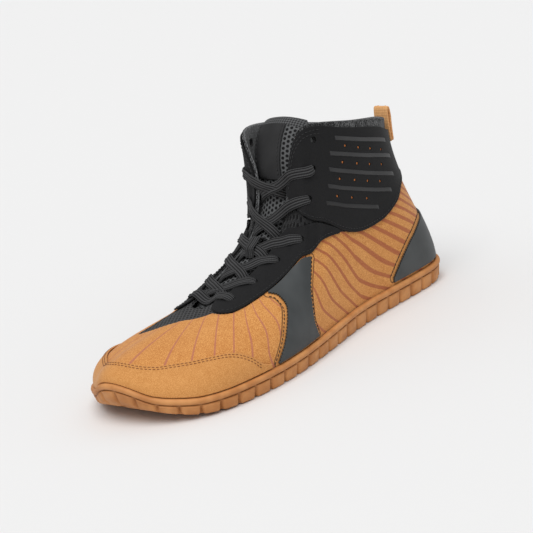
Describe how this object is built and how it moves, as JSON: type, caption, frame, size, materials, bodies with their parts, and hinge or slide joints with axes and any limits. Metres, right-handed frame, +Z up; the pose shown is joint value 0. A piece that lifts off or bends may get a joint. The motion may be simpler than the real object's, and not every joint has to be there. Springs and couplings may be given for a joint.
{
  "type": "barefoot shoe",
  "caption": "Left mid-height barefoot shoe: tan suede hollow upper with black ankle and eyestay panels, flat grey lace, pull loop and thin gum-rubber cup sole with side lugs.",
  "frame": {"origin": "middle of the footprint, on the floor plane under the sole", "axes": "toe towards -X, heel towards +X, outer side of the foot towards -Y, +Z up"},
  "size_m": [0.2879, 0.1049, 0.132],
  "materials": {
    "gum_rubber": "matte gum rubber",
    "tan_suede": "napped suede",
    "tan_nubuck": "fine nubuck",
    "black_microfibre": "matte microfibre",
    "black_mesh": "open mesh",
    "slate_synthetic": "smooth satin synthetic",
    "lace_grey": "flat ribbed weave",
    "webbing_tan": "woven webbing",
    "footbed_foam": "fabric over foam"
  },
  "bodies": {
    "root": {"outsole": "gum_rubber", "insole": "footbed_foam", "upper": "tan_suede", "toe_cap": "tan_nubuck", "saddle_lateral": "slate_synthetic", "saddle_medial": "slate_synthetic", "heel_counter": "slate_synthetic", "eyestay_lateral": "black_microfibre", "eyestay_medial": "black_microfibre", "ankle_panel_lateral": "black_microfibre", "ankle_panel_medial": "black_microfibre", "tongue": "black_mesh", "tongue_patch": "slate_synthetic", "lace_keeper": "lace_grey", "pull_loop": "webbing_tan", "lace_bar_1": "lace_grey", "lace_crossing_2": "lace_grey", "lace_crossing_3": "lace_grey", "lace_crossing_4": "lace_grey", "lace_crossing_5": "lace_grey", "lace_crossing_6": "lace_grey"}
  },
  "joints": []
}
